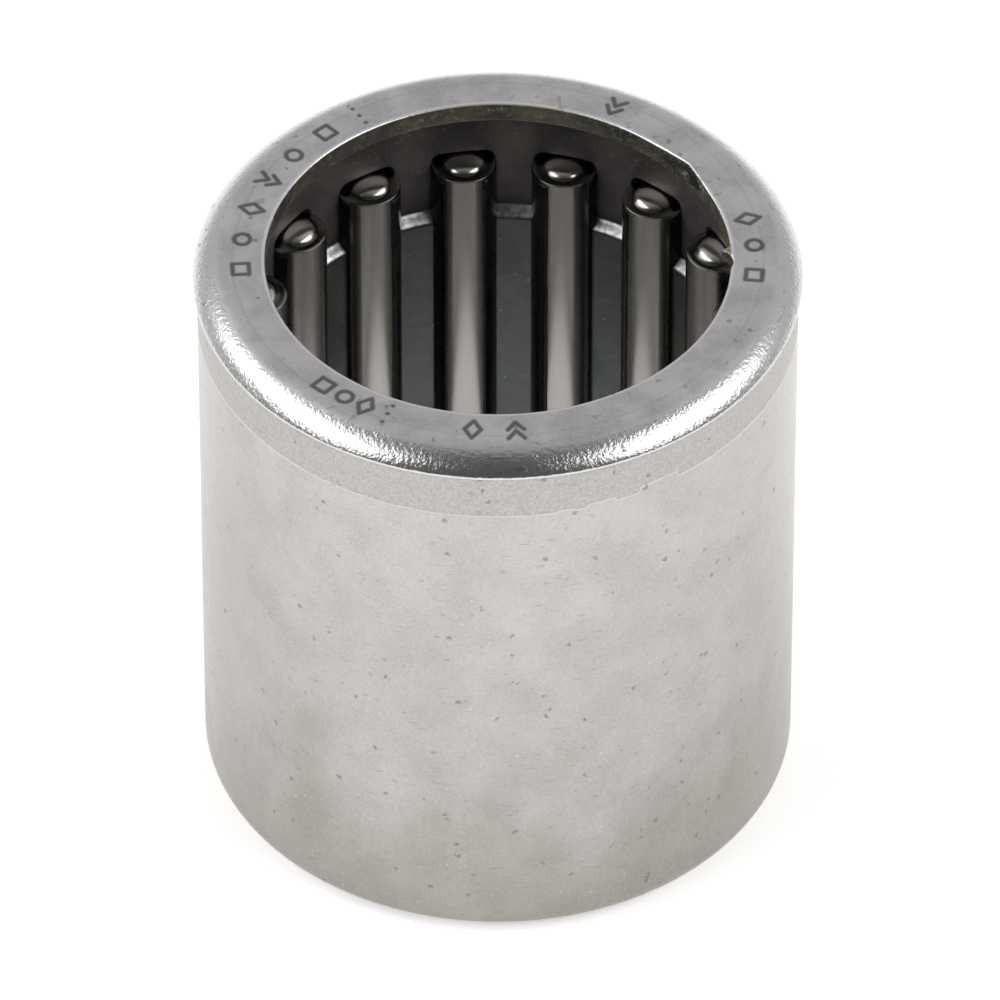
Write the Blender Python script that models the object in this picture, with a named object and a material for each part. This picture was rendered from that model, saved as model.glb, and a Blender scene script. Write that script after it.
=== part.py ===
"""Drawn cup needle roller bearing with a sheet-steel cage, open at both ends.

Metres, +Z along the bearing's axis towards the stamped lip, origin at the bearing's centre.
The cup is the fixed body. The cage turns in it about +Z, and each needle turns in its own pocket
of the cage while it rolls along the raceway.
"""
import math

import bmesh
import bpy
from mathutils import Matrix, Vector

MM = 0.001

# Boundary dimensions of the standard size: shaft, housing bore and width
SHAFT_DIAMETER = 10.0 * MM
OUTER_DIAMETER = 14.0 * MM
WIDTH = 15.0 * MM

# Needles
NEEDLE_COUNT = 15
NEEDLE_DIAMETER = 1.5 * MM
NEEDLE_LENGTH = 11.3 * MM
NEEDLE_NOSE_LENGTH = 0.22 * MM          # axial length of each rounded end
NEEDLE_END_FLAT_RADIUS = 0.2 * MM
FIRST_NEEDLE_ANGLE = math.radians(2.1)  # from +X towards +Y, with the cage at rest

# Running clearances
SHAFT_CLEARANCE = 0.005 * MM            # radial, shaft to needles
RACEWAY_CLEARANCE = 0.025 * MM          # radial, needles to raceway
POCKET_CLEARANCE = 0.02 * MM            # radial, needle to pocket wall
POCKET_END_CLEARANCE = 0.05 * MM        # axial, needle end to pocket end
CAGE_END_CLEARANCE = 0.1 * MM           # axial, cage ring to lip

# Drawn cup
LIP_THICKNESS = 0.5 * MM
LIP_HOLE_RADIUS = 5.4 * MM
LIP_EDGE_RADIUS = 0.06 * MM
SHOULDER_START_RADIUS = 6.17 * MM       # where the flat face of the stamped lip starts to roll over
SHOULDER_RADIUS = 1.1 * MM
SHOULDER_SWEEP = 55.0                   # degrees that the roll turns through
SHOULDER_BEAD_RADIUS = 0.08 * MM        # rounds the shoulder's foot, which stands just proud of the cup
SHOULDER_FOOT_DEPTH = 0.62 * MM         # from the end face to where the cylinder starts
ROLLED_CORNER_RADIUS = 0.5 * MM         # outer corner at the rolled end
INNER_CORNER_RADIUS = 0.2 * MM

# Cage: one sheet whose middle is stepped inwards, so that its pockets' edges hold the needles
# from falling in, while the ends of the same pockets hold them from falling out
CAGE_SHEET = 0.3 * MM
CAGE_END_BORE_RADIUS = 5.85 * MM
CAGE_MIDDLE_BORE_RADIUS = 5.58 * MM
CAGE_STEP_OUTER_Z = 4.02 * MM           # where the sheet starts to step inwards
CAGE_STEP_INNER_Z = 3.82 * MM           # where the step ends
POCKET_CORNER_RADIUS = 0.25 * MM

# Facets
CUP_SEGMENTS = 72
CAGE_SEGMENTS = 120
NEEDLE_SEGMENTS = 16
POCKET_SEGMENTS = 32
CORNER_STEPS = 4
SMALL_CORNER_STEPS = 2
BEAD_STEPS = 3
NOSE_STEPS = 3

# Derived sizes
NEEDLE_RADIUS = NEEDLE_DIAMETER / 2
ORBIT_RADIUS = SHAFT_DIAMETER / 2 + SHAFT_CLEARANCE + NEEDLE_RADIUS
RACEWAY_RADIUS = ORBIT_RADIUS + NEEDLE_RADIUS + RACEWAY_CLEARANCE
OUTER_RADIUS = OUTER_DIAMETER / 2
HALF_WIDTH = WIDTH / 2
LIP_INNER_Z = HALF_WIDTH - LIP_THICKNESS
CAGE_END_Z = LIP_INNER_Z - CAGE_END_CLEARANCE
NEEDLE_PITCH = math.tau / NEEDLE_COUNT

SMOOTH_ANGLE = math.radians(32)


def clear_scene():
    for obj in list(bpy.data.objects):
        bpy.data.objects.remove(obj, do_unlink=True)


def metal(name, colour, roughness):
    material = bpy.data.materials.new(name)
    material.use_nodes = True
    shader = material.node_tree.nodes["Principled BSDF"]
    shader.inputs["Base Color"].default_value = (*colour, 1.0)
    shader.inputs["Roughness"].default_value = roughness
    shader.inputs["Metallic"].default_value = 1.0
    material.diffuse_color = (*colour, 1.0)
    return material


def arc(centre, radii, start_degrees, end_degrees, steps):
    """Points (radius, z) on an elliptical arc, ends included."""
    points = []
    for step in range(steps + 1):
        angle = math.radians(start_degrees + (end_degrees - start_degrees) * step / steps)
        points.append((centre[0] + radii[0] * math.cos(angle), centre[1] + radii[1] * math.sin(angle)))
    return points


def corner(centre, radius, start_degrees, end_degrees, steps=CORNER_STEPS):
    return arc(centre, (radius, radius), start_degrees, end_degrees, steps)


def offset_outline(points, distance):
    """The open outline moved sideways to its right by distance, with mitred corners."""
    path = [Vector(point) for point in points]
    sides = []
    for here, there in zip(path, path[1:]):
        along = (there - here).normalized()
        sides.append(Vector((along.y, -along.x)))
    moved = []
    for index, point in enumerate(path):
        before = sides[max(index - 1, 0)]
        after = sides[min(index, len(sides) - 1)]
        mitre = (before + after).normalized()
        moved.append(tuple(point + mitre * distance / mitre.dot(after)))
    return moved


def turned_ring(bm, outline, segments, first_angle=0.0):
    """Turn a closed outline that goes up on its outer side about the Z axis."""
    rings = []
    for segment in range(segments):
        angle = first_angle + math.tau * segment / segments
        rings.append([
            bm.verts.new((radius * math.cos(angle), radius * math.sin(angle), z)) for radius, z in outline
        ])
    for ring, following in zip(rings, rings[1:] + rings[:1]):
        for index in range(len(outline)):
            above = (index + 1) % len(outline)
            bm.faces.new((ring[index], following[index], following[above], ring[above]))


def turned_rod(bm, outline, segments, place=Matrix.Identity(4)):
    """Turn an outline that goes up from a flat end to a flat end about the Z axis of place."""
    rings = []
    for radius, z in outline:
        ring = []
        for segment in range(segments):
            angle = math.tau * segment / segments
            ring.append(bm.verts.new(place @ Vector((radius * math.cos(angle), radius * math.sin(angle), z))))
        rings.append(ring)
    for ring, above in zip(rings, rings[1:]):
        for segment in range(segments):
            following = (segment + 1) % segments
            bm.faces.new((ring[segment], ring[following], above[following], above[segment]))
    bm.faces.new(list(reversed(rings[0])))
    bm.faces.new(rings[-1])


def smooth_mesh(name, bm):
    mesh = bpy.data.meshes.new(name)
    bm.to_mesh(mesh)
    bm.free()
    mesh.shade_smooth()
    mesh.set_sharp_from_angle(angle=SMOOTH_ANGLE)
    return mesh


def add_object(name, mesh, location=(0.0, 0.0, 0.0), parent=None):
    obj = bpy.data.objects.new(name, mesh)
    obj.location = location
    obj.parent = parent
    bpy.context.scene.collection.objects.link(obj)
    return obj


def shoulder_outline():
    """Outside of the stamped end, going up: cylinder's end, bead, then the roll over to the flat face."""
    foot = 90 - SHOULDER_SWEEP
    roll = corner((SHOULDER_START_RADIUS, HALF_WIDTH - SHOULDER_RADIUS), SHOULDER_RADIUS, foot, 90)
    inward = Vector((math.cos(math.radians(foot)), math.sin(math.radians(foot)))) * SHOULDER_BEAD_RADIUS
    bead = corner(Vector(roll[0]) - inward, SHOULDER_BEAD_RADIUS, -60, foot, BEAD_STEPS)
    return [(OUTER_RADIUS, HALF_WIDTH - SHOULDER_FOOT_DEPTH)] + bead[:-1] + roll


def cup_outline():
    """Half section of the cup, once round: up the outside, over the lip, down the raceway, under."""
    edge = LIP_EDGE_RADIUS
    inner = INNER_CORNER_RADIUS
    rolled_centre = (OUTER_RADIUS - ROLLED_CORNER_RADIUS, ROLLED_CORNER_RADIUS - HALF_WIDTH)
    outside = corner(rolled_centre, ROLLED_CORNER_RADIUS, -90, 0)
    outside += shoulder_outline()
    top_lip = corner((LIP_HOLE_RADIUS + edge, HALF_WIDTH - edge), edge, 90, 180, SMALL_CORNER_STEPS)
    top_lip.append((LIP_HOLE_RADIUS, LIP_INNER_Z))
    raceway = corner((RACEWAY_RADIUS - inner, LIP_INNER_Z - inner), inner, 90, 0, SMALL_CORNER_STEPS)
    raceway += corner((RACEWAY_RADIUS - inner, inner - LIP_INNER_Z), inner, 0, -90, SMALL_CORNER_STEPS)
    bottom_lip = [(LIP_HOLE_RADIUS, -LIP_INNER_Z)]
    bottom_lip += corner((LIP_HOLE_RADIUS + edge, edge - HALF_WIDTH), edge, 180, 270, SMALL_CORNER_STEPS)
    return outside + top_lip + raceway + bottom_lip


def cage_outline():
    """Half section of the cage's sheet, once round, with both steps."""
    bore_side = [
        (CAGE_END_BORE_RADIUS, -CAGE_END_Z),
        (CAGE_END_BORE_RADIUS, -CAGE_STEP_OUTER_Z),
        (CAGE_MIDDLE_BORE_RADIUS, -CAGE_STEP_INNER_Z),
        (CAGE_MIDDLE_BORE_RADIUS, CAGE_STEP_INNER_Z),
        (CAGE_END_BORE_RADIUS, CAGE_STEP_OUTER_Z),
        (CAGE_END_BORE_RADIUS, CAGE_END_Z),
    ]
    return offset_outline(bore_side, CAGE_SHEET) + bore_side[::-1]


def needle_outline():
    """Needle from its lower end to its upper one: flat, rounded nose, cylinder, nose, flat."""
    half = NEEDLE_LENGTH / 2
    radii = (NEEDLE_RADIUS, NEEDLE_NOSE_LENGTH)
    flat_degrees = math.degrees(math.acos(NEEDLE_END_FLAT_RADIUS / NEEDLE_RADIUS))
    lower = arc((0.0, NEEDLE_NOSE_LENGTH - half), radii, -flat_degrees, 0, NOSE_STEPS)
    upper = arc((0.0, half - NEEDLE_NOSE_LENGTH), radii, 0, flat_degrees, NOSE_STEPS)
    return lower + upper


def pocket_outline():
    """The space that one pocket clears: a cylinder about the needle with rounded end corners."""
    half = NEEDLE_LENGTH / 2 + POCKET_END_CLEARANCE
    corner_radius = NEEDLE_RADIUS + POCKET_CLEARANCE - POCKET_CORNER_RADIUS
    corner_z = half - POCKET_CORNER_RADIUS
    lower = corner((corner_radius, -corner_z), POCKET_CORNER_RADIUS, -90, 0)
    upper = corner((corner_radius, corner_z), POCKET_CORNER_RADIUS, 0, 90)
    return lower + upper


def needle_angle(index):
    return FIRST_NEEDLE_ANGLE + NEEDLE_PITCH * index


def on_orbit(index):
    angle = needle_angle(index)
    return Vector((ORBIT_RADIUS * math.cos(angle), ORBIT_RADIUS * math.sin(angle), 0.0))


def build_cup():
    bm = bmesh.new()
    turned_ring(bm, cup_outline(), CUP_SEGMENTS)
    mesh = smooth_mesh("drawn_cup", bm)
    mesh.materials.append(metal("cup_steel", (0.63, 0.62, 0.60), 0.30))
    return add_object("drawn_cup", mesh)


def build_pocket_cutter(parent):
    bm = bmesh.new()
    for index in range(NEEDLE_COUNT):
        place = Matrix.Translation(on_orbit(index)) @ Matrix.Rotation(needle_angle(index), 4, "Z")
        turned_rod(bm, pocket_outline(), POCKET_SEGMENTS, place)
    cutter = add_object("pocket_cutter", smooth_mesh("pocket_cutter", bm), parent=parent)
    cutter.hide_render = True
    cutter.display_type = "WIRE"
    return cutter


def build_cage(cup):
    bm = bmesh.new()
    turned_ring(bm, cage_outline(), CAGE_SEGMENTS, FIRST_NEEDLE_ANGLE)
    mesh = smooth_mesh("needle_cage", bm)
    mesh.materials.append(metal("cage_steel", (0.16, 0.165, 0.17), 0.38))
    cage = add_object("needle_cage", mesh, parent=cup)
    pockets = cage.modifiers.new("pockets", "BOOLEAN")
    pockets.operation = "DIFFERENCE"
    pockets.solver = "EXACT"
    pockets.object = build_pocket_cutter(cage)
    return cage


def build_needles(cage):
    bm = bmesh.new()
    turned_rod(bm, needle_outline(), NEEDLE_SEGMENTS)
    mesh = smooth_mesh("needle", bm)
    mesh.materials.append(metal("needle_steel", (0.72, 0.70, 0.66), 0.12))
    for index in range(NEEDLE_COUNT):
        add_object(f"needle_{index + 1:02d}", mesh, on_orbit(index), cage)


def main():
    clear_scene()
    cup = build_cup()
    cage = build_cage(cup)
    build_needles(cage)


main()
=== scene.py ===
"""Looks of the drawn cup needle roller bearing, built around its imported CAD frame.

Every length is in metres. The bearing's centre is the origin and +Z runs out of the stamped end.
"""
import math

import bmesh
import bpy
import numpy as np
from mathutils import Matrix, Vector


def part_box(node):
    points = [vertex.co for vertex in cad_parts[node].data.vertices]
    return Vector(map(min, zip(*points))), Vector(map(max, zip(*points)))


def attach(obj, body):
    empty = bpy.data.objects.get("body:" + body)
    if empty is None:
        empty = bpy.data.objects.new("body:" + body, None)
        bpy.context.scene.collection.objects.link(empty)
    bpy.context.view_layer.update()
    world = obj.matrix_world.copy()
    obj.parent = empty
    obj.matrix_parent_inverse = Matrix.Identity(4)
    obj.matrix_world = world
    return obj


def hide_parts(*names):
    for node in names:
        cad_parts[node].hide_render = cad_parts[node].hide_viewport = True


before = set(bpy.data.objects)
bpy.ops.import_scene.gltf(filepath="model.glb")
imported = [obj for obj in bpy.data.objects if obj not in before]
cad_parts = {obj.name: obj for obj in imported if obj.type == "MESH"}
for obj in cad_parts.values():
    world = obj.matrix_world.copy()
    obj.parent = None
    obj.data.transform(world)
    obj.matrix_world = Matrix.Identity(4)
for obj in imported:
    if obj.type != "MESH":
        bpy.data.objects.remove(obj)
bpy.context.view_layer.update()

MM = 0.001

# ---------------------------------------------------------------- sizes read from the frame
HALF_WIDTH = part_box("drawn_cup")[1].z
CAGE_END_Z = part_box("needle_cage")[1].z
NEEDLES = sorted(
    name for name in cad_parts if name.startswith("needle_") and name != "needle_cage")
PITCH = math.tau / len(NEEDLES)


def needle_place(name):
    """Centre radius, angle, radius and half length of one CAD needle."""
    low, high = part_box(name)
    centre = (low + high) / 2
    orbit = math.hypot(centre.x, centre.y)
    return orbit, math.atan2(centre.y, centre.x), (high.x - low.x) / 2, high.z


ORBIT_RADIUS, FIRST_ANGLE, NEEDLE_RADIUS, NEEDLE_HALF = needle_place(NEEDLES[0])

# ---------------------------------------------------------------- cup, as in the CAD
LIP_THICKNESS = 0.5 * MM
LIP_HOLE_RADIUS = 5.4 * MM
LIP_EDGE_RADIUS = 0.06 * MM
LIP_UNDER_RADIUS = 0.03 * MM
OUTER_RADIUS = 7.0 * MM
FLAT_RADIUS = 6.17 * MM
SHOULDER_RADIUS = 1.1 * MM
SHOULDER_SWEEP = 55.0        # degrees of the shoulder's arc, down from the stamped face
BEAD_RADIUS = 0.08 * MM      # of the bead along the shoulder's foot
BEAD_END = -75               # degrees, where the bead turns in under itself
FOOT_DEPTH = 0.62 * MM       # of the shoulder's foot below the stamped face
FOOT_RISE = 0.02 * MM        # small step between the bead and the foot
FOOT_STEP = 0.004 * MM
ROLLED_CORNER_RADIUS = 0.5 * MM
RACEWAY_RADIUS = 6.53 * MM
INNER_CORNER_RADIUS = 0.2 * MM
UNDER_LIP_RINGS = (0.2 * MM, 0.06 * MM)    # out from the hole, on the stamped lip's underside

# ---------------------------------------------------------------- cup, wear added to the CAD's shape
# Drawn skin: the rougher band under the shoulder
SKIN_BORDER_Z = HALF_WIDTH - 1.75 * MM
SKIN_DEPTH = 0.012 * MM
SKIN_ZONE = (-0.22 * MM, 0.2 * MM)    # close rings of points, from its border
SKIN_UNEVEN = 0.045 * MM
SKIN_BLUR = 0.02 * MM
SKIN_RIDGE = 0.004 * MM               # the border stands a little proud
SKIN_RIDGE_WIDTH = 0.03 * MM
SKIN_TABS = (                         # centre and half width in degrees, rise in millimetres
    (-70, 3.0, 0.10), (-58, 4.5, 0.16), (-77, 2.0, 0.05), (140, 5, 0.12), (75, 6, 0.1),
)
TAB_EDGE = 0.6                        # degrees
# Lip's edge: depth of each fault, its angle and its half width in degrees
KINK, KINK_ANGLE, KINK_WIDTH = 0.13 * MM, 36.5, 13
BURR, BURR_ANGLE, BURR_WIDTH = -0.2 * MM, 2.6, 1.1
NOTCH, NOTCH_ANGLE, NOTCH_WIDTH = 0.05 * MM, -1.6, 1.6
LIP_UNEVEN = 0.008 * MM
WEAR_REACH = 0.3 * MM                 # how far out on the face the edge's faults reach
WEAR_DEPTH = 0.15 * MM                # below the face, where they have their full size
# Depths below the stamped plane that count as the face, and as drawn skin all round
FACE_DEPTH = 0.05 * MM
ALL_SKIN_DEPTH = 0.7 * MM

# ---------------------------------------------------------------- cage, as in the CAD
CAGE_SHEET = 0.3 * MM
CAGE_END_BORE_RADIUS = 5.85 * MM
CAGE_MIDDLE_BORE_RADIUS = 5.58 * MM
STEP_OUTER_Z = 4.02 * MM
STEP_INNER_Z = 3.82 * MM
STEP_ROUND = 0.03 * MM
POCKET_RADIUS = NEEDLE_RADIUS + 0.02 * MM
POCKET_HALF = NEEDLE_HALF + 0.05 * MM
POCKET_CORNER = 0.25 * MM
CAGE_EDGE = 0.02 * MM        # rounding of the sheet's cut edges

# Points round the cup: its stamped end, down past the drawn skin, and the rest
FINE = 1440
COARSE = 360
TOUCH = 1e-7                 # slack when a ring's place is compared with a size

# ================================================================ mesh helpers


def arc(centre, radius, start_degrees, end_degrees, steps):
    angles = np.radians(np.linspace(start_degrees, end_degrees, steps + 1))
    return [(centre[0] + radius * math.cos(a), centre[1] + radius * math.sin(a)) for a in angles]


def line(start, end, steps):
    """Points from start to end, start left out."""
    return [
        (start[0] + (end[0] - start[0]) * i / steps, start[1] + (end[1] - start[1]) * i / steps)
        for i in range(1, steps + 1)
    ]


def add_piece(name, mesh, body, node, material, place=(0.0, 0.0, 0.0)):
    """Adds a piece that rides on a body. It replaces a CAD node, unless node is None."""
    obj = bpy.data.objects.new(name, mesh)
    obj.location = place
    bpy.context.scene.collection.objects.link(obj)
    mesh.materials.append(material)
    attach(obj, body)
    if node:
        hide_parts(node)


def smooth_step(value, low, high):
    t = np.clip((value - low) / (high - low), 0.0, 1.0)
    return t * t * (3 - 2 * t)


def wave(angle, seed, counts, falloff):
    """A repeatable uneven line, from about -1 to 1. It closes on itself if the counts are whole."""
    random = np.random.default_rng(seed)
    total = np.zeros_like(angle)
    for count in counts:
        total += np.cos(count * angle + random.uniform(0, math.tau)) * count ** -falloff
    return total / sum(count ** -falloff for count in counts)


# ================================================================ stamped marks

MARK_RADIUS = 5.97 * MM
MARK_STROKE = 0.06 * MM      # half the stroke's width
MARK_BLUR = (0.6, 1.35)      # where a stroke's side starts and ends, in half widths
MARK_REACH = 0.5 * MM        # half the width of the patch that holds one mark
MARK_DEPTH = 0.012 * MM
TALL = 0.29 * MM
WIDE = 0.19 * MM
DIAMOND = [
    ((0, TALL), (WIDE, 0)), ((WIDE, 0), (0, -TALL)),
    ((0, -TALL), (-WIDE, 0)), ((-WIDE, 0), (0, TALL)),
]
SQUARE = [
    ((-WIDE, -WIDE), (WIDE, -WIDE)), ((WIDE, -WIDE), (WIDE, WIDE)),
    ((WIDE, WIDE), (-WIDE, WIDE)), ((-WIDE, WIDE), (-WIDE, -WIDE)),
]
RING_CORNERS = [(WIDE * math.cos(a), WIDE * math.sin(a)) for a in np.linspace(0, math.tau, 13)]
RING = list(zip(RING_CORNERS[:-1], RING_CORNERS[1:]))
DOTS = [((0, -TALL), (0, -TALL)), ((0, 0), (0, 0)), ((0, TALL), (0, TALL))]
CHEVRONS = [
    ((-WIDE, TALL), (0, 0.1 * TALL)), ((0, 0.1 * TALL), (WIDE, TALL)),
    ((-WIDE, 0), (0, -0.9 * TALL)), ((0, -0.9 * TALL), (WIDE, 0)),
]
# Generic symbols, by their angle in degrees from +X
MARKS = (
    (184, SQUARE), (174, RING), (163.5, DIAMOND), (153, CHEVRONS),
    (143, RING), (132.5, SQUARE), (123, DOTS),
    (62.6, CHEVRONS),
    (13, DIAMOND), (4, RING), (-6, SQUARE),
    (-86, CHEVRONS), (-95.5, DIAMOND),
    (-115, DOTS), (-120.5, DIAMOND), (-126, RING), (-132, SQUARE),
)


def mark_distance(radius, angle):
    """Distance from points of the stamped face to the nearest stroke's middle line."""
    nearest = np.full(radius.shape, 1.0)
    for degrees, strokes in MARKS:
        turn = np.angle(np.exp(1j * (angle - math.radians(degrees))))
        across = turn * radius
        along = radius - MARK_RADIUS
        near = np.abs(across) < MARK_REACH
        u, v = across[near], along[near]
        best = nearest[near]
        for (u0, v0), (u1, v1) in strokes:
            du, dv = u1 - u0, v1 - v0
            length = du * du + dv * dv
            t = np.clip(((u - u0) * du + (v - v0) * dv) / length, 0, 1) if length else 0.0
            best = np.minimum(best, np.hypot(u - u0 - t * du, v - v0 - t * dv))
        nearest[near] = best
    return nearest


# ================================================================ cup


def cup_rings():
    """(radius, z, points) of each ring of the cup, all the way round its section.

    The rings go up the stamped lip's hole, out over the face and shoulder, down the side, in over the
    rolled end and back up the inside.
    """
    edge = LIP_EDGE_RADIUS
    under = LIP_UNDER_RADIUS
    top = HALF_WIDTH
    lip_inner = top - LIP_THICKNESS
    inner = INNER_CORNER_RADIUS
    rolled = ROLLED_CORNER_RADIUS

    hole = arc((LIP_HOLE_RADIUS + under, lip_inner + under), under, 270, 180, 4)
    hole += line(hole[-1], (LIP_HOLE_RADIUS, top - edge), 8)
    hole += arc((LIP_HOLE_RADIUS + edge, top - edge), edge, 180, 90, 4)[1:]
    face = line((LIP_HOLE_RADIUS + edge, top), (FLAT_RADIUS, top), 26)
    foot = 90 - SHOULDER_SWEEP
    shoulder_centre = (FLAT_RADIUS, top - SHOULDER_RADIUS)
    roll = arc(shoulder_centre, SHOULDER_RADIUS, 90, foot, 30)[1:]
    bead_centre = (
        roll[-1][0] - BEAD_RADIUS * math.cos(math.radians(foot)),
        roll[-1][1] - BEAD_RADIUS * math.sin(math.radians(foot)),
    )
    bead = arc(bead_centre, BEAD_RADIUS, foot, BEAD_END, 8)[1:]
    above_foot = (OUTER_RADIUS + FOOT_STEP, top - FOOT_DEPTH + FOOT_RISE)
    skin = [above_foot, (OUTER_RADIUS, top - FOOT_DEPTH)]
    skin += line(skin[-1], (OUTER_RADIUS, SKIN_BORDER_Z + SKIN_ZONE[1]), 8)
    skin += line(skin[-1], (OUTER_RADIUS, SKIN_BORDER_Z + SKIN_ZONE[0]), 16)
    fine = hole + face + roll + bead + skin

    coarse = line(skin[-1], (OUTER_RADIUS, rolled - top), 12)
    coarse += arc((OUTER_RADIUS - rolled, rolled - top), rolled, 0, -90, 14)[1:]
    coarse += line(coarse[-1], (LIP_HOLE_RADIUS + edge, -top), 6)
    coarse += arc((LIP_HOLE_RADIUS + edge, edge - top), edge, 270, 180, 4)[1:]
    coarse += line(coarse[-1], (LIP_HOLE_RADIUS, -lip_inner), 2)
    coarse += line(coarse[-1], (RACEWAY_RADIUS - inner, -lip_inner), 3)
    coarse += arc((RACEWAY_RADIUS - inner, inner - lip_inner), inner, -90, 0, 6)[1:]
    coarse += line(coarse[-1], (RACEWAY_RADIUS, lip_inner - inner), 6)
    coarse += arc((RACEWAY_RADIUS - inner, lip_inner - inner), inner, 0, 90, 6)[1:]
    coarse += line(coarse[-1], (LIP_HOLE_RADIUS + UNDER_LIP_RINGS[0], lip_inner), 3)
    coarse.append((LIP_HOLE_RADIUS + UNDER_LIP_RINGS[1], lip_inner))
    return [(r, z, FINE) for r, z in fine] + [(r, z, COARSE) for r, z in coarse]


def as_degrees(angle):
    """The angle in degrees, from -180 to 180."""
    return np.degrees(np.angle(np.exp(1j * angle)))


def lip_wear(angle):
    """How far the lip's edge stands back from a true circle: a kink, a small burr and a notch."""
    degrees = as_degrees(angle)
    kink = KINK * np.clip(1 - np.abs(degrees - KINK_ANGLE) / KINK_WIDTH, 0, 1) ** 1.5
    burr = BURR * np.exp(-((degrees - BURR_ANGLE) / BURR_WIDTH) ** 2)
    notch = NOTCH * np.exp(-((degrees - NOTCH_ANGLE) / NOTCH_WIDTH) ** 2)
    uneven = LIP_UNEVEN * wave(angle, 3, (3, 5, 9, 17, 31, 53, 90), 0.4)
    return kink + burr + notch + uneven


def skin_border(angle):
    """Height of the uneven line where the drawn skin ends and the finished cylinder begins."""
    degrees = as_degrees(angle)
    border = SKIN_BORDER_Z + SKIN_UNEVEN * wave(angle, 11, (2, 3, 5, 8, 13, 27, 44), 0.5)
    for centre, half, rise in SKIN_TABS:
        border += rise * MM * smooth_step(half - np.abs(degrees - centre), 0, TAB_EDGE)
    return border


def shape_ring(radius, z, angle):
    """Moves one ring of the cup off its true circle.

    Returns its radii and heights, and how much of each point is stamped mark and drawn skin.
    """
    radii = np.full(angle.shape, radius)
    heights = np.full(angle.shape, z)
    mark = np.zeros(angle.shape)
    skin = np.zeros(angle.shape)
    lip_under = HALF_WIDTH - LIP_THICKNESS
    lip_zone = LIP_HOLE_RADIUS + LIP_EDGE_RADIUS
    if radius <= lip_zone + WEAR_REACH and z > lip_under - TOUCH:
        reach = smooth_step(z, lip_under, HALF_WIDTH - WEAR_DEPTH)
        fade = 1 - smooth_step(radius, lip_zone, lip_zone + WEAR_REACH)
        radii = radii + lip_wear(angle) * reach * fade
    if z > HALF_WIDTH - FACE_DEPTH and radius >= lip_zone - TOUCH:
        distance = mark_distance(radii, angle)
        mark = 1 - smooth_step(distance, MARK_BLUR[0] * MARK_STROKE, MARK_BLUR[1] * MARK_STROKE)
        heights = heights - MARK_DEPTH * mark
    if radius > OUTER_RADIUS - TOUCH and 0 < z < HALF_WIDTH - FOOT_DEPTH + TOUCH:
        border = skin_border(angle)
        skin = smooth_step(z, border - SKIN_BLUR, border + SKIN_BLUR)
        ridge = np.exp(-((z - border) / SKIN_RIDGE_WIDTH) ** 2)
        radii = radii - SKIN_DEPTH * skin - SKIN_RIDGE * (1 - ridge)
    elif z > HALF_WIDTH - ALL_SKIN_DEPTH:
        skin = np.ones(angle.shape)
    return radii, heights, mark, skin


def cup_mesh():
    points, faces = [], []
    marks, skins = [], []
    starts, counts = [], []
    for radius, z, count in cup_rings():
        angle = math.tau * np.arange(count) / count
        radii, heights, mark, skin = shape_ring(radius, z, angle)
        starts.append(sum(counts))
        counts.append(count)
        points.append(np.c_[radii * np.cos(angle), radii * np.sin(angle), heights])
        marks.append(mark)
        skins.append(skin)
    for ring in range(len(starts)):
        after = (ring + 1) % len(starts)
        join_rings(faces, (starts[after], counts[after]), (starts[ring], counts[ring]))
    mesh = bpy.data.meshes.new("drawn_cup_fine")
    mesh.from_pydata(np.concatenate(points).tolist(), [], faces)
    for name, values in (("mark", marks), ("skin", skins)):
        attribute = mesh.attributes.new(name, "FLOAT", "POINT")
        attribute.data.foreach_set("value", np.concatenate(values).astype(np.float32))
    mesh.shade_smooth()
    return mesh


def join_rings(faces, first, second):
    """Faces between two rings (start, count). One may have a whole multiple of the other's points."""
    (a, count_a), (b, count_b) = first, second
    if count_a == count_b:
        for i in range(count_a):
            j = (i + 1) % count_a
            faces.append((a + i, a + j, b + j, b + i))
        return
    if count_a > count_b:
        step = count_a // count_b
        for i in range(count_b):
            fan = [a + (i * step + k) % count_a for k in range(step + 1)]
            faces.append((*fan, b + (i + 1) % count_b, b + i))
    else:
        step = count_b // count_a
        for i in range(count_a):
            fan = [b + (i * step + k) % count_b for k in range(step + 1)]
            faces.append((a + i, a + (i + 1) % count_a, *reversed(fan)))


# ================================================================ cage


def soft_ramp(x, low, high, rounding):
    """0 below low, 1 above high, straight between them, with both corners rounded."""
    def bend(u):
        u = np.asarray(u, float)
        corner = (u + rounding) ** 2 / (4 * rounding)
        return np.where(u < -rounding, 0, np.where(u > rounding, u, corner))
    return (bend(x - low) - bend(x - high)) / (high - low)


def sheet_radii(z):
    """Bore side and outer side radius of the cage's sheet at height z."""
    rise = CAGE_END_BORE_RADIUS - CAGE_MIDDLE_BORE_RADIUS
    slope = math.atan2(rise, STEP_OUTER_Z - STEP_INNER_Z)
    shift = CAGE_SHEET * math.tan(slope / 2)
    height = np.abs(z)
    inner_rise = rise * soft_ramp(height, STEP_INNER_Z, STEP_OUTER_Z, STEP_ROUND)
    outer_rise = rise * soft_ramp(height, STEP_INNER_Z - shift, STEP_OUTER_Z - shift, STEP_ROUND)
    return CAGE_MIDDLE_BORE_RADIUS + inner_rise, CAGE_MIDDLE_BORE_RADIUS + CAGE_SHEET + outer_rise


# Heights in millimetres up a pocket's straight side, close together at the step
POCKET_STEPS = np.array([
    0, 1.2, 2.4, 3.2, 3.5, 3.6, 3.68, 3.75, 3.8, 3.85,
    3.9, 3.95, 4.0, 4.05, 4.1, 4.2, 4.4, 4.8, 5.2,
])


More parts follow.
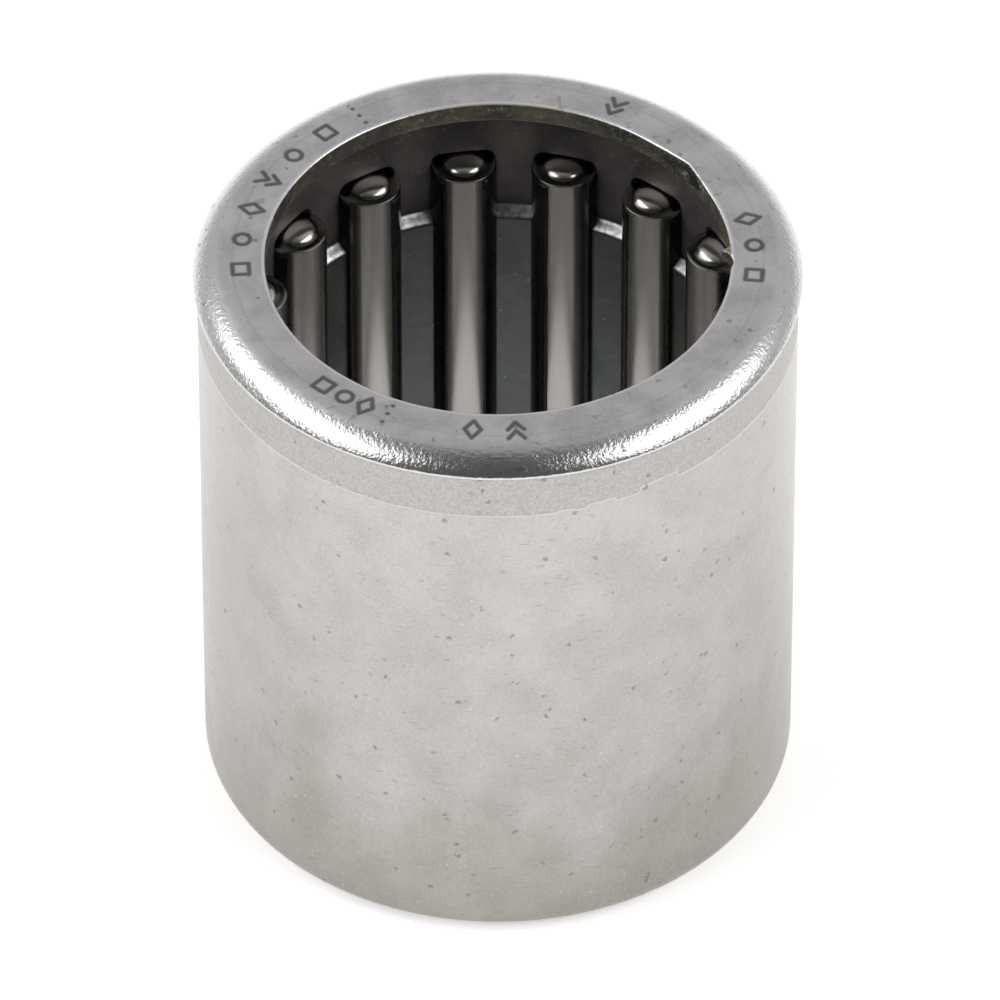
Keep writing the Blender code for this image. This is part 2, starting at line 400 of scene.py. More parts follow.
def pocket_rows():
    """(height, angle round the corner) of the points up one side of a pocket."""
    straight = POCKET_HALF - POCKET_CORNER
    upper = [(z * MM, 0.0) for z in POCKET_STEPS]
    upper += [(straight, psi) for psi in np.radians(np.linspace(0, 90, 8))]
    lower = [(-z, psi) for z, psi in reversed(upper[1:])]
    return lower + upper


def pocket_side(grow):
    """Heights and cutter radii up one side of a pocket whose outline is grown by grow."""
    heights, radii = [], []
    for z, psi in pocket_rows():
        sign = math.copysign(1, z)
        corner = POCKET_CORNER + grow
        at_corner = abs(abs(z) - (POCKET_HALF - POCKET_CORNER)) < 1e-9
        heights.append(z + sign * corner * math.sin(psi) if at_corner else z)
        radii.append(POCKET_RADIUS - POCKET_CORNER + corner * math.cos(psi))
    return np.array(heights), np.array(radii)


def half_angle(radius, cutter):
    """Half the angle that a pocket takes out of a circle of that radius."""
    return np.arccos((radius ** 2 + ORBIT_RADIUS ** 2 - cutter ** 2) / (2 * radius * ORBIT_RADIUS))


END_COLUMNS = 10
RIB_COLUMNS = 12
# Across the sheet, from the bore side: side (0 bore, 1 outer), depth and growth in edge radii
WALL_LAYERS = (
    (0, 0.0, 1.0), (0, 0.1, 0.55), (0, 0.32, 0.2), (0, 1.0, 0.0),
    (1, 1.0, 0.0), (1, 0.3, 0.3), (1, 0.0, 1.0),
)


def layer_radius(side, depth, z):
    inner, outer = sheet_radii(z)
    return inner + depth * CAGE_EDGE if side == 0 else outer - depth * CAGE_EDGE


def grid_faces(points, faces, patch, closed=False):
    """Adds a patch of points [row][column] with the quads between them."""
    start = len(points)
    rows, columns = patch.shape[:2]
    points.extend(patch.reshape(-1, 3).tolist())
    for row in range(rows - 1):
        for column in range(columns if closed else columns - 1):
            following = (column + 1) % columns
            a, b = start + row * columns, start + (row + 1) * columns
            faces.append((a + column, a + following, b + following, b + column))


def polar(radius, angle, z):
    radius, angle, z = np.broadcast_arrays(radius, angle, z)
    return np.stack((radius * np.cos(angle), radius * np.sin(angle), z), axis=-1)


def cage_sector(points, faces):
    """One pocket, the rib after it and both stretches of ring, about angle 0."""
    loops = []
    for side, depth, grow in WALL_LAYERS:
        heights, cutter = pocket_side(grow * CAGE_EDGE)
        radius = layer_radius(side, depth, heights)
        angle = half_angle(radius, cutter)
        across = np.linspace(1, -1, END_COLUMNS + 1)[1:-1]
        loops.append(np.concatenate((
            polar(radius, angle, heights),
            polar(radius[-1], angle[-1] * across, heights[-1]),
            polar(radius, -angle, heights)[::-1],
            polar(radius[0], -angle[0] * across, heights[0]),
        )))
    grid_faces(points, faces, np.array(loops), closed=True)
    end_angles = {}
    for side in (0, 1):
        heights, cutter = pocket_side(CAGE_EDGE)
        radius = layer_radius(side, 0.0, heights)
        angle = half_angle(radius, cutter)
        share = np.linspace(0, 1, RIB_COLUMNS + 1)[None, :]
        columns = angle[:, None] * (1 - share) + (PITCH - angle[:, None]) * share
        grid_faces(points, faces, polar(radius[:, None], columns, heights[:, None]))
        for row in (0, -1):
            across = np.linspace(-1, 1, END_COLUMNS + 1) * angle[row]
            ring_angles = np.concatenate((across, columns[row][1:]))
            end = math.copysign(CAGE_END_Z - CAGE_EDGE, heights[row])
            if side == 0:
                end_angles[row] = ring_angles
                grid_faces(points, faces, ring_end(ring_angles, end))
            ring_share = np.linspace(0, 1, 8)[:, None]
            ring_heights = heights[row] * (1 - ring_share) + end * ring_share
            level_angles = ring_angles * (1 - ring_share) + end_angles[row] * ring_share
            ring_radii = layer_radius(side, 0.0, ring_heights)
            grid_faces(points, faces, polar(ring_radii, level_angles, ring_heights))


def ring_end(angles, z):
    """The rounded end of the sheet, from its bore side to its outer side."""
    inner, outer = sheet_radii(z)
    rise = math.copysign(CAGE_EDGE, z)
    quarter = [
        (CAGE_EDGE * (1 - math.cos(a)), z + rise * math.sin(a)) for a in np.radians((0, 30, 60, 90))
    ]
    section = [(inner + inset, height) for inset, height in quarter]
    section += [(outer - inset, height) for inset, height in reversed(quarter)]
    return np.array([polar(radius, angles, height) for radius, height in section])


def cage_mesh():
    sector, sector_faces = [], []
    cage_sector(sector, sector_faces)
    sector = np.array(sector)
    points, faces = [], []
    for index in range(len(NEEDLES)):
        turn = FIRST_ANGLE + PITCH * index
        cos, sin = math.cos(turn), math.sin(turn)
        rotation = np.array(((cos, -sin, 0), (sin, cos, 0), (0, 0, 1)))
        start = len(points)
        points.extend((sector @ rotation.T).tolist())
        faces.extend(tuple(start + v for v in face) for face in sector_faces)
    return closed_mesh("needle_cage_fine", points, faces)


def closed_mesh(name, points, faces):
    """A smooth mesh with shared points joined and its faces turned outwards."""
    mesh = bpy.data.meshes.new(name)
    mesh.from_pydata(points, [], faces)
    bm = bmesh.new()
    bm.from_mesh(mesh)
    bmesh.ops.remove_doubles(bm, verts=bm.verts, dist=1e-7)
    bmesh.ops.recalc_face_normals(bm, faces=bm.faces)
    bm.to_mesh(mesh)
    bm.free()
    mesh.shade_smooth()
    return mesh


# ================================================================ painted shade in the pockets: dark sheets beside the needles

SHADE_SHEET_CLEARANCE = 0.008 * MM   # between the sheet and the turning needle
SHADE_SHEET_THICKNESS = 0.008 * MM
SHADE_SHEET_FLARE = 0.035 * MM       # more where it meets the cage
SHADE_SHEET_END_GAP = 0.3 * MM       # from the needle's end
SHADE_SHEET_LAP = math.radians(4)    # round the needle's axis, into the cage's edge
SHADE_SHEET_WAVES = (0.7, 1.3, 2.9, 5.1)
SHADE_SHEET_WAVE_DEGREES = 1.2
SHADE_SHEET_TAPER, SHADE_SHEET_THIN = 6, 0.15    # growth of the thickness from the free edge, and its share there
SHADE_SHEET_LEAST = 0.05             # radians, the narrowest strip
SHADE_SHEET_ROWS = 45
SHADE_SHEET_COLUMNS = 9
# Degrees round the needle where a strip starts: at the Y axis, change per degree off it, limit
SHADE_SHEET_WIDE = (46.0, -1.9, 16.0)
SHADE_SHEET_NARROW = (14.0, 3.25, 66.0)


def shade_sheet_strip(points, faces, turn, side, start_degrees):
    """A closed dark sheet of painted shade along one side of the needle at angle turn, out to the
    pocket's edge.

    It starts at start_degrees round the needle from the side that faces the bearing's axis.
    """
    half = NEEDLE_HALF - SHADE_SHEET_END_GAP
    steps = np.array((STEP_INNER_Z, (STEP_INNER_Z + STEP_OUTER_Z) / 2, STEP_OUTER_Z))
    heights = np.unique(np.concatenate((np.linspace(-half, half, SHADE_SHEET_ROWS), -steps, steps)))
    cutter = POCKET_RADIUS
    sheet = sheet_radii(heights)[0]
    squares = ORBIT_RADIUS ** 2 + cutter ** 2 - sheet ** 2
    edge = np.arccos(squares / (2 * ORBIT_RADIUS * cutter)) + SHADE_SHEET_LAP
    uneven = wave(heights / MM, int(10 * turn) + side + 1, SHADE_SHEET_WAVES, 0.4)
    start = np.radians(start_degrees + SHADE_SHEET_WAVE_DEGREES * uneven)
    share = np.linspace(0, 1, SHADE_SHEET_COLUMNS)[None, :]
    gamma = np.minimum(start, edge - SHADE_SHEET_LEAST)[:, None] * (1 - share) + edge[:, None] * share
    under = np.full_like(gamma, NEEDLE_RADIUS + SHADE_SHEET_CLEARANCE)
    taper = np.minimum(1, share * SHADE_SHEET_TAPER + SHADE_SHEET_THIN)
    over = under + SHADE_SHEET_THICKNESS * taper + SHADE_SHEET_FLARE * share ** 4
    loop = np.concatenate((under, over[:, ::-1]), axis=1)
    around_needle = np.concatenate((gamma, gamma[:, ::-1]), axis=1) * side
    level = np.repeat(heights[:, None], loop.shape[1], axis=1)
    out = ORBIT_RADIUS - loop * np.cos(around_needle)
    across = loop * np.sin(around_needle)
    cos, sin = math.cos(turn), math.sin(turn)
    patch = np.stack((out * cos - across * sin, out * sin + across * cos, level), axis=-1)
    first = len(points)
    grid_faces(points, faces, patch, closed=True)
    width = loop.shape[1]
    last = len(points) - width
    faces.append(tuple(first + i for i in reversed(range(width))))
    faces.append(tuple(last + i for i in range(width)))


def shade_sheet_mesh():
    """Two strips of painted shade in each pocket: a wide one on one side of the needle and a narrow one
    on the other.
    """
    points, faces = [], []
    for index in range(len(NEEDLES)):
        turn = FIRST_ANGLE + PITCH * index
        wide_side = 1 if math.cos(turn) * math.sin(turn) > 0 else -1
        off_centre = math.degrees(math.asin(abs(math.cos(turn))))
        wide_start = max(SHADE_SHEET_WIDE[2], SHADE_SHEET_WIDE[0] + SHADE_SHEET_WIDE[1] * off_centre)
        narrow_start = min(SHADE_SHEET_NARROW[2], SHADE_SHEET_NARROW[0] + SHADE_SHEET_NARROW[1] * off_centre)
        shade_sheet_strip(points, faces, turn, wide_side, wide_start)
        shade_sheet_strip(points, faces, turn, -wide_side, narrow_start)
    return closed_mesh("pocket_shade_sheet", points, faces)


# ================================================================ needles


TIP_RADIUS = 0.5 * MM        # raised dome in the middle of each needle's end
TIP_HEIGHT = 0.16 * MM
TIP_SWEEP = 74               # degrees of the dome's quarter ellipse before the fillet
TIP_FILLET = 0.04 * MM
SHELF_SLOPE = 0.02 * MM      # fall of the flat round the dome, from the fillet to the edge
NEEDLE_EDGE = 0.006 * MM
NEEDLE_POINTS = 56


def needle_outline():
    """(radius, z) from a needle's upper tip down to its middle: dome, flat, edge and cylinder."""
    outline = [
        (TIP_RADIUS * math.sin(a), NEEDLE_HALF - TIP_HEIGHT * (1 - math.cos(a)))
        for a in np.radians(np.linspace(0, TIP_SWEEP, 13)[1:])
    ]
    shelf = NEEDLE_HALF - TIP_HEIGHT - TIP_FILLET / 2
    outline.append((TIP_RADIUS + TIP_FILLET, shelf))
    outline += line(outline[-1], (NEEDLE_RADIUS - NEEDLE_EDGE, shelf - SHELF_SLOPE), 3)
    outline.append((NEEDLE_RADIUS, shelf - SHELF_SLOPE - NEEDLE_EDGE))
    outline.append((NEEDLE_RADIUS, shelf - SHELF_SLOPE - 3 * NEEDLE_EDGE))
    outline += line(outline[-1], (NEEDLE_RADIUS, 0.0), 4)
    return outline


def needle_mesh(name):
    segments = NEEDLE_POINTS
    upper = needle_outline()
    rings = upper + [(r, -z) for r, z in reversed(upper[:-1])]
    angle = math.tau * np.arange(segments) / segments
    points = [(0.0, 0.0, NEEDLE_HALF)]
    for radius, z in rings:
        points.extend(polar(radius, angle, z).tolist())
    points.append((0.0, 0.0, -NEEDLE_HALF))
    last = len(points) - 1
    faces = []
    for i in range(segments):
        j = (i + 1) % segments
        faces.append((0, 1 + i, 1 + j))
        faces.append((last, last - segments + j, last - segments + i))
    for ring in range(len(rings) - 1):
        join_rings(faces, (1 + (ring + 1) * segments, segments), (1 + ring * segments, segments))
    mesh = bpy.data.meshes.new(name)
    mesh.from_pydata(points, [], faces)
    mesh.shade_smooth()
    return mesh


# ================================================================ materials


def set_range(node, low, high, out_low, out_high):
    """Makes a map range node a smooth step from (low, high) to (out_low, out_high)."""
    node.interpolation_type = "SMOOTHSTEP"
    limits = {"From Min": low, "From Max": high, "To Min": out_low, "To Max": out_high}
    for socket, number in limits.items():
        node.inputs[socket].default_value = number


class Nodes:
    """Short names for building a node material."""

    def __init__(self, name):
        self.material = bpy.data.materials.new(name)
        self.material.use_nodes = True
        self.tree = self.material.node_tree
        self.shader = self.tree.nodes["Principled BSDF"]

    def node(self, kind, **settings):
        node = self.tree.nodes.new(kind)
        for key, value in settings.items():
            setattr(node, key, value)
        return node

    def link(self, source, target):
        self.tree.links.new(source, target)

    def put(self, socket, value):
        if isinstance(value, (int, float)):
            socket.default_value = value
        elif isinstance(value, tuple):
            socket.default_value = (*value, 1.0)
        else:
            self.link(value, socket)

    def position(self, scale=(1.0, 1.0, 1.0)):
        """The piece's own coordinates in millimetres, times scale."""
        coordinates = self.node("ShaderNodeTexCoord").outputs["Object"]
        mapping = self.node("ShaderNodeMapping")
        mapping.inputs["Scale"].default_value = tuple(s / MM for s in scale)
        self.link(coordinates, mapping.inputs["Vector"])
        return mapping.outputs["Vector"]

    def noise(self, scale, detail=3.0, roughness=0.55, stretch=(1.0, 1.0, 1.0), distortion=0.0):
        node = self.node("ShaderNodeTexNoise")
        self.link(self.position(stretch), node.inputs["Vector"])
        node.inputs["Scale"].default_value = scale
        node.inputs["Detail"].default_value = detail
        node.inputs["Roughness"].default_value = roughness
        node.inputs["Distortion"].default_value = distortion
        return node.outputs["Fac"]

    def cells(self, scale):
        """Distance to the nearest of many scattered spots."""
        node = self.node("ShaderNodeTexVoronoi")
        self.link(self.position(), node.inputs["Vector"])
        node.inputs["Scale"].default_value = scale
        return node.outputs["Distance"]

    def ramp(self, value, low, high, out_low=0.0, out_high=1.0):
        """A smooth step of the value."""
        node = self.node("ShaderNodeMapRange")
        self.put(node.inputs["Value"], value)
        set_range(node, low, high, out_low, out_high)
        return node.outputs["Result"]

    def fall(self, value, low, high):
        return self.ramp(value, low, high, 1.0, 0.0)

    def band(self, value, rise, fall):
        """1 between two steps of the value, 0 outside them."""
        return self.product(self.ramp(value, *rise), self.fall(value, *fall))

    def spots(self, scale, ragged_scale, ragged, size):
        """Scattered spots with ragged outlines."""
        uneven = self.ramp(self.noise(ragged_scale, 2.0), 0.3, 0.7, -ragged, ragged)
        return self.fall(self.math("ADD", self.cells(scale), uneven), *size)

    def fibres(self, scale):
        """Thin curly lines of dried oil and lint, in patches."""
        curls = self.noise(scale, 3.0, 0.6, distortion=1.5)
        off_line = self.math("ABSOLUTE", self.math("SUBTRACT", curls, 0.5))
        patches = self.ramp(self.noise(scale * 0.45, 2.0, 0.5), 0.46, 0.60)
        return self.product(self.fall(off_line, 0.006, 0.03), patches)

    def math(self, operation, a, b=0.0):
        node = self.node("ShaderNodeMath", operation=operation)
        self.put(node.inputs[0], a)
        self.put(node.inputs[1], b)
        return node.outputs[0]

    def product(self, a, b):
        """Product of two numbers."""
        return self.math("MULTIPLY", a, b)

    def mix(self, factor, a, b):
        """Colour mix."""
        node = self.node("ShaderNodeMix", data_type="RGBA")
        self.put(node.inputs[0], factor)
        self.put(node.inputs[6], a)
        self.put(node.inputs[7], b)
        return node.outputs[2]

    def multiply(self, a, b):
        """Product of two colours."""
        node = self.node("ShaderNodeMix", data_type="RGBA", blend_type="MULTIPLY")
        node.inputs[0].default_value = 1.0
        self.put(node.inputs[6], a)
        self.put(node.inputs[7], b)
        return node.outputs[2]

    def blend(self, factor, a, b):
        """Number mix."""
        node = self.node("ShaderNodeMix", data_type="FLOAT")
        self.put(node.inputs[0], factor)
        self.put(node.inputs[2], a)
        self.put(node.inputs[3], b)
        return node.outputs[0]

    def attribute(self, name):
        return self.node("ShaderNodeAttribute", attribute_name=name).outputs["Fac"]

    def bump(self, height, distance_mm, strength=1.0, normal=None):
        node = self.node("ShaderNodeBump")
        node.inputs["Distance"].default_value = distance_mm * MM
        self.put(node.inputs["Strength"], strength)
        self.link(height, node.inputs["Height"])
        if normal is not None:
            self.link(normal, node.inputs["Normal"])
        return node.outputs["Normal"]

    def height(self):
        """Height above the bearing's centre in millimetres."""
        parts = self.node("ShaderNodeSeparateXYZ")
        self.link(self.position(), parts.inputs[0])
        return parts.outputs["Z"]

    def radius(self):
        """Distance in millimetres from the piece's own Z axis: the bearing's, or the needle's."""
        parts = self.node("ShaderNodeSeparateXYZ")
        self.link(self.position(), parts.inputs[0])
        x_squared, y_squared = (self.math("POWER", parts.outputs[axis], 2.0) for axis in "XY")
        return self.math("SQRT", self.math("ADD", x_squared, y_squared))

    def finish(self, colour, roughness, normal, metallic=1.0):
        self.put(self.shader.inputs["Base Color"], colour)
        self.put(self.shader.inputs["Roughness"], roughness)
        self.shader.inputs["Metallic"].default_value = metallic
        if normal is not None:
            self.link(normal, self.shader.inputs["Normal"])
        return self.material


# Steps of height and radius in millimetres, where one finish of the cup gives way to the next
FACE_STEP = (7.40, 7.47)
SHOULDER_STEP = (6.88, 6.92)
WALL_STEP = (6.9, 7.0)
WALL_RADIUS_STEP = (5.405, 5.43)
RIM_RADIUS_STEP = (5.46, 5.52)
TURNED_LINE = ((6.12, 6.16), (6.17, 6.22))

# Linear colours. A pair is the two ends of a mottled mix.
SIDE_WARM, SIDE_COOL, SIDE_PALE = (0.49, 0.476, 0.460), (0.50, 0.473, 0.474), (0.56, 0.546, 0.540)
# Painted shade: the side's colour darkens towards its lower end, standing in for the shadowed floor it
# reflects there
SHADE_LOW, SHADE_MIDDLE, SHADE_TOP = (0.70, 0.68, 0.635), (0.90, 0.895, 0.885), (0.97, 0.965, 0.96)
SIDE_GRAIN = ((0.90, 0.895, 0.89), (1.0, 1.0, 1.0))
DRAWN_SKIN = ((0.43, 0.417, 0.407), (0.52, 0.503, 0.492))
SKIN_EDGE = (0.80, 0.785, 0.775)
FACE_GREY = ((0.48, 0.465, 0.465), (0.58, 0.562, 0.565))
FACE_SMUDGE = (0.66, 0.64, 0.642)
SHOULDER_BRIGHT = (0.66, 0.655, 0.65)
# Painted highlight along the edge of the lip's hole
RIM_HIGHLIGHT = (0.86, 0.845, 0.84)
TURNED_DARK = (0.30, 0.29, 0.29)
WALL_DARK = ((0.20, 0.19, 0.18), (0.36, 0.35, 0.27))
RESIDUE = (0.92, 0.90, 0.66)
PIT = (0.17, 0.15, 0.13)
FLECK = (0.80, 0.785, 0.775)
SCRATCH = (0.26, 0.245, 0.23)
STAMPED = (0.10, 0.10, 0.105)
RIB_STEEL = ((0.17, 0.172, 0.178), (0.235, 0.232, 0.232))
RIB_TEAL = (0.168, 0.187, 0.192)
RING_STEEL = ((0.20, 0.185, 0.18), (0.27, 0.25, 0.24))
# Painted highlight on the cage's step ledge
LEDGE_HIGHLIGHT = (0.60, 0.60, 0.60)
RING_RESIDUE = (0.62, 0.60, 0.52)
RING_SPECKS = (0.55, 0.54, 0.52)
NEEDLE_STEEL = ((0.74, 0.72, 0.69), (0.80, 0.775, 0.735))
# Painted shade on the needles' ends
END_SHADE_STEEL = (0.40, 0.39, 0.38)
FLAT_PAINTED_SHADE = (0.10, 0.097, 0.093)
# Painted shade: the black of the sheets along the needles' sides
SHADE_SHEET_DARK = ((0.006, 0.007, 0.008), (0.016, 0.018, 0.017))
FLOOR_PALE = ((0.93, 0.93, 0.925), (0.95, 0.95, 0.945))


def side_colour(m, height, cloud, grain):
    """The finished cylinder: mottled, with painted shade that makes it darker and warmer towards its
    lower end, where it reflects the shadowed floor.
    """
    tint = m.noise(0.35, 2.0, 0.5)
    side = m.mix(m.ramp(tint, 0.35, 0.65), SIDE_WARM, SIDE_COOL)
    side = m.mix(m.ramp(cloud, 0.3, 0.7), side, SIDE_PALE)
    # Painted shade: darker and warmer low on the side, with an uneven edge
    mottle = m.noise(0.5, 4.0, 0.6, stretch=(1, 1, 0.5))
    shade_height = m.math("ADD", height, m.ramp(mottle, 0.3, 0.7, -1.5, 1.5))
    lower_shade = m.mix(m.ramp(shade_height, -7.0, -1.0), SHADE_LOW, SHADE_MIDDLE)
    lower_shade = m.mix(m.ramp(shade_height, -1.0, 5.0), lower_shade, SHADE_TOP)
    side = m.multiply(side, lower_shade)
    return m.multiply(side, m.mix(m.ramp(grain, 0.34, 0.66), *SIDE_GRAIN))


def face_colour(m, colour, radius, on_face, grain):
    """Adds the stamped face, with a painted highlight on the rim round the hole and a faint turned
    line.
    """
    smudge = m.ramp(m.noise(1.1, 4.0, 0.6), 0.35, 0.65)
    face = m.mix(smudge, m.mix(m.ramp(grain, 0.3, 0.7), *FACE_GREY), FACE_SMUDGE)
    colour = m.mix(on_face, colour, face)
    # Painted highlight: a lighter band on the face along the hole's edge
    rim_highlight = m.product(m.fall(radius, *RIM_RADIUS_STEP), on_face)
    colour = m.mix(m.product(rim_highlight, 0.8), colour, RIM_HIGHLIGHT)
    return m.mix(m.product(m.band(radius, *TURNED_LINE), 0.2), colour, TURNED_DARK)


def wall_colour(m, cloud):
    """The lip hole's wall: dark, with dried yellowish residue."""
    crumbs = m.ramp(m.noise(8.0, 5.0, 0.7, distortion=0.4), 0.52, 0.66)
    crumbs = m.product(crumbs, m.ramp(m.noise(1.6, 2.0), 0.40, 0.58))
    residue = m.math("MAXIMUM", m.product(m.fibres(4.0), 0.6), m.product(crumbs, 0.6))
    return m.mix(residue, m.mix(m.ramp(cloud, 0.35, 0.65), *WALL_DARK), RESIDUE)


def cup_material():
    m = Nodes("cup_steel")
    skin = m.attribute("skin")
    mark = m.attribute("mark")
    height = m.height()
    radius = m.radius()
    on_face = m.ramp(height, *FACE_STEP)
    wall = m.product(m.fall(radius, *WALL_RADIUS_STEP), m.ramp(height, *WALL_STEP))
    above_foot = m.ramp(height, *SHOULDER_STEP)
    shoulder = m.product(above_foot, m.math("SUBTRACT", 1.0, on_face))
    cloud = m.noise(0.7, 4.0, 0.6)
    grain = m.noise(14.0, 4.0, 0.6)

    drawn = m.mix(m.ramp(grain, 0.35, 0.65), *DRAWN_SKIN)
    colour = m.mix(skin, side_colour(m, height, cloud, grain), drawn)
    skin_edge = m.band(skin, (0.02, 0.4), (0.5, 0.9))
    colour = m.mix(m.product(skin_edge, 0.6), colour, SKIN_EDGE)
    colour = m.mix(above_foot, colour, SHOULDER_BRIGHT)
    colour = face_colour(m, colour, radius, on_face, grain)
    colour = m.mix(wall, colour, wall_colour(m, cloud))

    pits = m.product(m.spots(2.3, 11.0, 0.09, (0.08, 0.17)), m.ramp(m.noise(1.3, 2.0), 0.46, 0.60))
    colour = m.mix(m.product(pits, 0.62), colour, PIT)
    flecks = m.product(m.spots(3.7, 13.0, 0.06, (0.06, 0.14)), m.ramp(m.noise(1.0, 2.0), 0.48, 0.62))
    flecks = m.product(flecks, m.ramp(height, 6.6, 6.8, 0.3, 0.0))
    colour = m.mix(flecks, colour, FLECK)
    dashes = m.noise(2.4, 2.0, 0.5, stretch=(1.0, 1.0, 6.0), distortion=0.6)
    colour = m.mix(m.product(m.ramp(dashes, 0.66, 0.71), 0.4), colour, SCRATCH)
    colour = m.mix(m.product(mark, 0.85), colour, STAMPED)

    roughness = m.ramp(cloud, 0.3, 0.7, 0.24, 0.34)
    for zone, value in ((skin, 0.46), (shoulder, 0.22), (on_face, 0.36), (mark, 0.6), (wall, 0.5)):
        roughness = m.blend(zone, roughness, value)
    peel = m.noise(10.0, 3.0, 0.55)
    normal = m.bump(peel, 0.03, m.math("ADD", m.product(shoulder, 0.42), 0.05))
    normal = m.bump(grain, 0.02, 0.25, normal)
    normal = m.bump(pits, 0.02, 0.4, normal)
    return m.finish(colour, roughness, normal)


def cage_material():
    m = Nodes("cage_steel")
    mottle = m.noise(0.8, 3.0, 0.6)
    grain = m.noise(18.0, 3.0, 0.6)
    level = m.math("ABSOLUTE", m.height())
    end_ring = m.ramp(level, 4.05, 4.15)
    ledge = m.band(level, (3.78, 3.83), (4.0, 4.05))

    colour = m.mix(m.ramp(mottle, 0.35, 0.7), *RIB_STEEL)
    teal = m.ramp(m.noise(0.6, 2.0, 0.5), 0.45, 0.65)
    colour = m.mix(m.product(teal, 0.8), colour, RIB_TEAL)
    colour = m.mix(end_ring, colour, m.mix(m.ramp(mottle, 0.35, 0.7), *RING_STEEL))
    # Painted highlight: the step's ledge, which faces up towards the lights, is made lighter in patches
    highlight_patches = m.ramp(m.noise(5.0, 4.0, 0.65), 0.36, 0.58, 0.25, 0.95)
    colour = m.mix(m.product(ledge, highlight_patches), colour, LEDGE_HIGHLIGHT)
    dried = m.ramp(m.noise(6.0, 4.0, 0.65, distortion=0.3), 0.57, 0.72)
    dried = m.product(m.ramp(level, 5.6, 6.5), dried)
    colour = m.mix(m.product(dried, 0.5), colour, RING_RESIDUE)
    # Pale specks scattered over the cage
    pale_specks = m.product(m.fall(m.cells(3.1), 0.08, 0.16), m.ramp(m.noise(1.1, 2.0), 0.45, 0.6))
    colour = m.mix(m.product(pale_specks, 0.4), colour, RING_SPECKS)

    roughness = m.blend(end_ring, m.ramp(mottle, 0.3, 0.7, 0.30, 0.44), 0.6)
    roughness = m.blend(ledge, roughness, 0.4)
    dents = m.noise(3.0, 3.0, 0.5)
    normal = m.bump(grain, 0.01, 0.3, m.bump(dents, 0.04, 0.25))
    return m.finish(colour, roughness, normal)


def needle_material():
    m = Nodes("needle_steel")
    mottle = m.noise(0.9, 3.0, 0.6, stretch=(1, 1, 0.35))
    turned = m.noise(6.0, 4.0, 0.7, stretch=(0.3, 0.3, 8.0))
    colour = m.mix(m.ramp(mottle, 0.35, 0.7), *NEEDLE_STEEL)
    # Painted shade: the needle's end is made darker, and the flat round the dome darkest, standing in
    # for the dark cage it reflects
    end_face = m.ramp(m.math("ABSOLUTE", m.height()), 5.42, 5.455)
    shaded_flat = m.product(end_face, m.ramp(m.radius(), 0.46, 0.52))
    colour = m.mix(m.product(end_face, 0.5), colour, END_SHADE_STEEL)
    colour = m.mix(shaded_flat, colour, FLAT_PAINTED_SHADE)
    m.shader.inputs["Specular Tint"].default_value = (0.1, 0.1, 0.1, 1.0)
    return m.finish(colour, m.ramp(turned, 0.3, 0.7, 0.19, 0.25), m.bump(turned, 0.004, 0.3))


# Glossy black for the sheets of painted shade beside the needles
def shade_sheet_material():
    m = Nodes("painted_shade_sheet")
    mottle = m.noise(1.2, 3.0, 0.6)
    colour = m.mix(m.ramp(mottle, 0.3, 0.7), *SHADE_SHEET_DARK)
    normal = m.bump(m.noise(7.0, 3.0, 0.6), 0.004, 0.25)
    m.shader.inputs["IOR"].default_value = 1.47
    m.shader.inputs["Specular IOR Level"].default_value = 0.3
    return m.finish(colour, m.ramp(mottle, 0.3, 0.7, 0.16, 0.32), normal, metallic=0.0)


def floor_material():
    m = Nodes("pale_floor")
    colour = m.mix(m.noise(2.0, 3.0), *FLOOR_PALE)
    m.shader.inputs["Specular IOR Level"].default_value = 0.1
    m.shader.inputs["Emission Color"].default_value = (1.0, 0.995, 0.98, 1.0)
    m.shader.inputs["Emission Strength"].default_value = 0.47
    return m.finish(colour, 0.9, None, metallic=0.0)


# ================================================================ stage

FLOOR_HALF = 1.2
FLOOR_GAP = 0.01 * MM        # under the bearing, so that the two faces don't flicker
LIGHT_DISTANCE = 0.45
# name, azimuth and elevation in degrees, size in metres, power in watts
LIGHTS = (
    ("left_box", -84, 43, (0.52, 0.22), 1.08),
    ("right_box", 76, 41, (0.40, 0.2), 0.95),
)
CAMERA_DISTANCE = 0.310      # from the middle of the stamped face
CAMERA_ELEVATION = math.radians(41.5)
CAMERA_LENS = 481.2
CAMERA_SENSOR = 36.0
CAMERA_NEAR = 0.01
CAMERA_AIM = Vector((0.05 * MM, 0.0, -0.154 * MM))


def area_light(name, azimuth_degrees, elevation_degrees, size, energy):
    """A box light aimed at the bearing. Azimuth runs from the camera's side (-Y) towards +X."""
    data = bpy.data.lights.new(name, "AREA")
    data.shape = "RECTANGLE"
    data.size, data.size_y = size
    data.energy = energy
    azimuth, elevation = math.radians(azimuth_degrees), math.radians(elevation_degrees)
    flat = LIGHT_DISTANCE * math.cos(elevation)
    light = bpy.data.objects.new(name, data)
    light.location = (
        flat * math.sin(azimuth), -flat * math.cos(azimuth), LIGHT_DISTANCE * math.sin(elevation))
    light.rotation_euler = light.location.to_track_quat("Z", "Y").to_euler()
    bpy.context.scene.collection.objects.link(light)


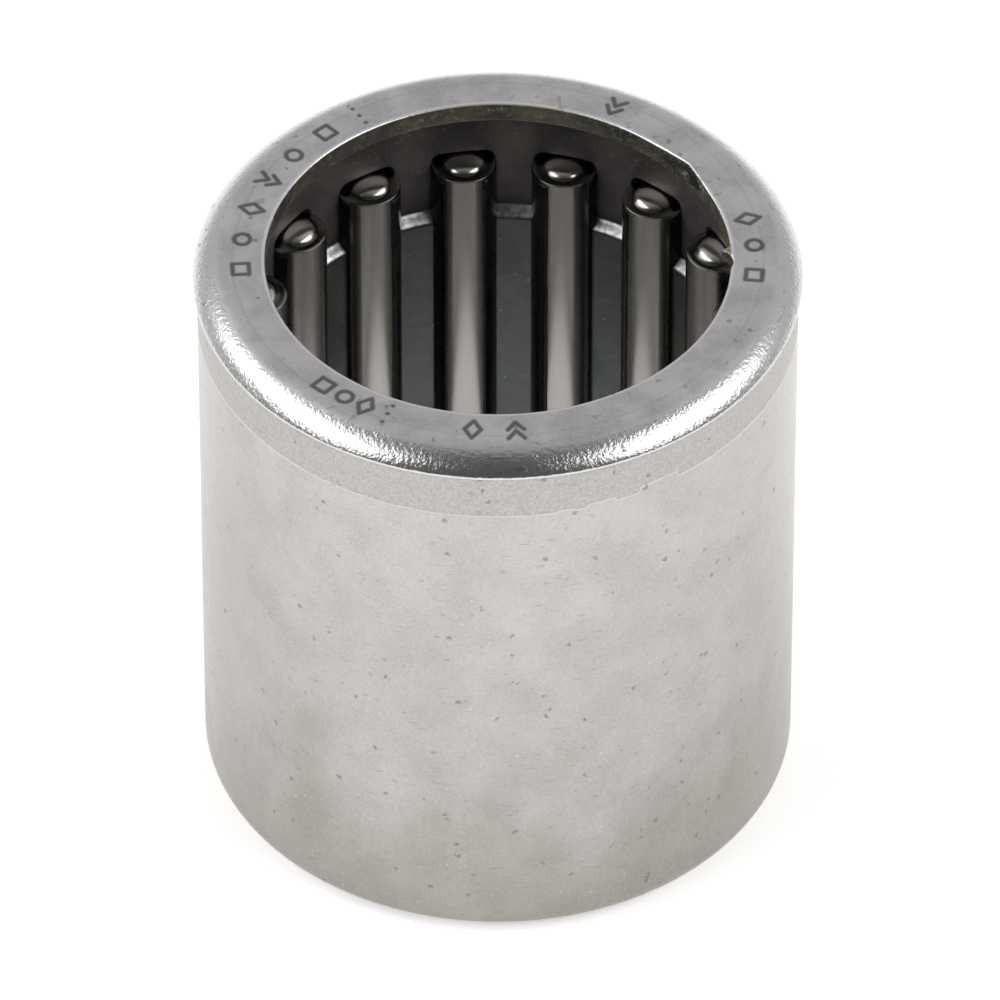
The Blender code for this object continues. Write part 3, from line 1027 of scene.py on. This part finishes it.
def build_stage():
    mesh = bpy.data.meshes.new("floor")
    half, z = FLOOR_HALF, -HALF_WIDTH - FLOOR_GAP
    corners = [(-half, -half, z), (half, -half, z), (half, half, z), (-half, half, z)]
    mesh.from_pydata(corners, [], [(0, 1, 2, 3)])
    floor = bpy.data.objects.new("floor", mesh)
    mesh.materials.append(floor_material())
    bpy.context.scene.collection.objects.link(floor)

    for settings in LIGHTS:
        area_light(*settings)
    build_world()
    bpy.context.scene.view_settings.view_transform = "Standard"


def build_world():
    """A grey studio: lighter behind the bearing, dark in front of it."""
    world = bpy.data.worlds.new("studio")
    world.use_nodes = True
    tree = world.node_tree
    background = tree.nodes["Background"]
    direction = tree.nodes.new("ShaderNodeTexCoord").outputs["Generated"]
    parts = tree.nodes.new("ShaderNodeSeparateXYZ")
    tree.links.new(direction, parts.inputs[0])
    depth = tree.nodes.new("ShaderNodeMapRange")
    set_range(depth, -0.5, 0.55, 0.09, 0.55)
    tree.links.new(parts.outputs["Y"], depth.inputs["Value"])
    tree.links.new(depth.outputs["Result"], background.inputs["Strength"])
    background.inputs["Color"].default_value = (1.0, 1.0, 1.0, 1.0)
    bpy.context.scene.world = world


def build_camera():
    data = bpy.data.cameras.new("camera")
    data.lens = CAMERA_LENS
    data.sensor_width = CAMERA_SENSOR
    data.clip_start = CAMERA_NEAR
    camera = bpy.data.objects.new("camera", data)
    direction = Vector((0.0, -math.cos(CAMERA_ELEVATION), math.sin(CAMERA_ELEVATION)))
    camera.location = Vector((0.0, 0.0, HALF_WIDTH)) + CAMERA_DISTANCE * direction
    camera.rotation_euler = (camera.location - CAMERA_AIM).to_track_quat("Z", "Y").to_euler()
    bpy.context.scene.collection.objects.link(camera)
    bpy.context.scene.camera = camera


# ================================================================ assembly


def build_bearing():
    add_piece("cup_shell", cup_mesh(), "cup", "drawn_cup", cup_material())
    add_piece("cage_sheet", cage_mesh(), "cage", "needle_cage", cage_material())
    # Dark sheets of painted shade along the needles' sides
    add_piece("pocket_shade_sheet", shade_sheet_mesh(), "cage", None, shade_sheet_material())
    steel = needle_material()
    for name in NEEDLES:
        orbit, angle, _, _ = needle_place(name)
        piece = name + "_roller"
        place = (orbit * math.cos(angle), orbit * math.sin(angle), 0.0)
        add_piece(piece, needle_mesh(piece), name, name, steel, place)


build_stage()
build_camera()
build_bearing()
